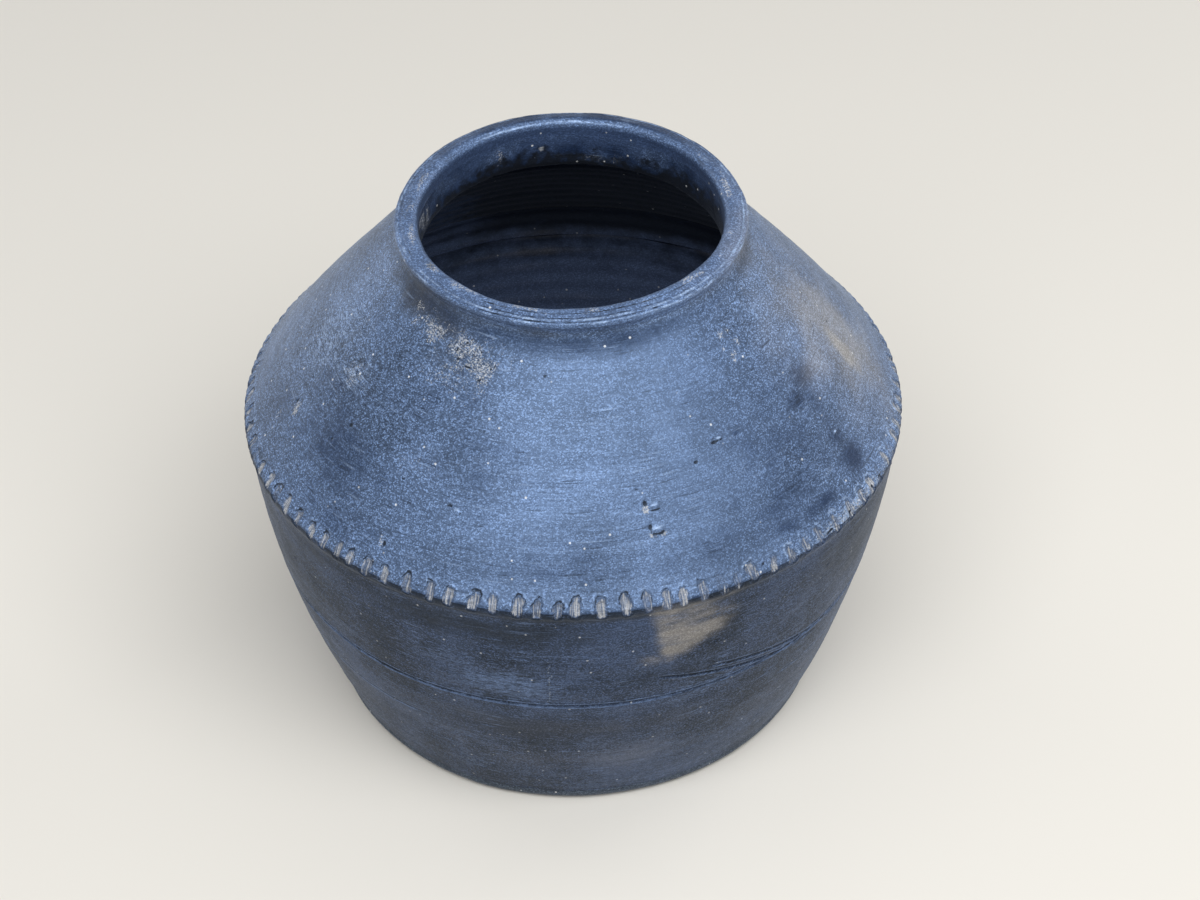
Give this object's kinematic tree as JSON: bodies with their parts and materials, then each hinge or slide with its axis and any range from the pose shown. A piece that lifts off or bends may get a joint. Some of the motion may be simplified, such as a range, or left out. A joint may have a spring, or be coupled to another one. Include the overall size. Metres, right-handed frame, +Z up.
{
  "type": "clay urn",
  "caption": "Wide-bellied smoke-blackened clay urn with a sharp notched shoulder line, sloping shoulder, short hollow neck and rolled rim, for holding dry goods or water.",
  "frame": {"origin": "centre of the flat underside of the base, on the surface the urn stands on", "axes": "+Z up along the urn's axis, through the mouth; +X and +Y level, with the pictured front towards -Y"},
  "size_m": [0.3, 0.3, 0.2498],
  "materials": {
    "base_clay": "smoke-blackened, left rough",
    "lower_wall_clay": "smoke-blackened, wiped matt",
    "band_clay": "smoke-blackened, worn, pale dust in the notches",
    "shoulder_clay": "smoke-blackened, lightly burnished to a satin sheen",
    "neck_clay": "smoke-blackened, wiped, brownish patches",
    "rim_clay": "smoke-blackened, worn pale on top",
    "inner_clay": "smoke-blackened, sooty, wheel lines"
  },
  "bodies": {
    "root": {"base_disc": "base_clay", "base_seam_coil": "inner_clay", "foot_wall": "lower_wall_clay", "belly_wall": "lower_wall_clay", "shoulder_seam_coil": "inner_clay", "notched_band": "band_clay", "shoulder_wall": "shoulder_clay", "neck_collar": "neck_clay", "rim_roll": "rim_clay"}
  },
  "joints": []
}
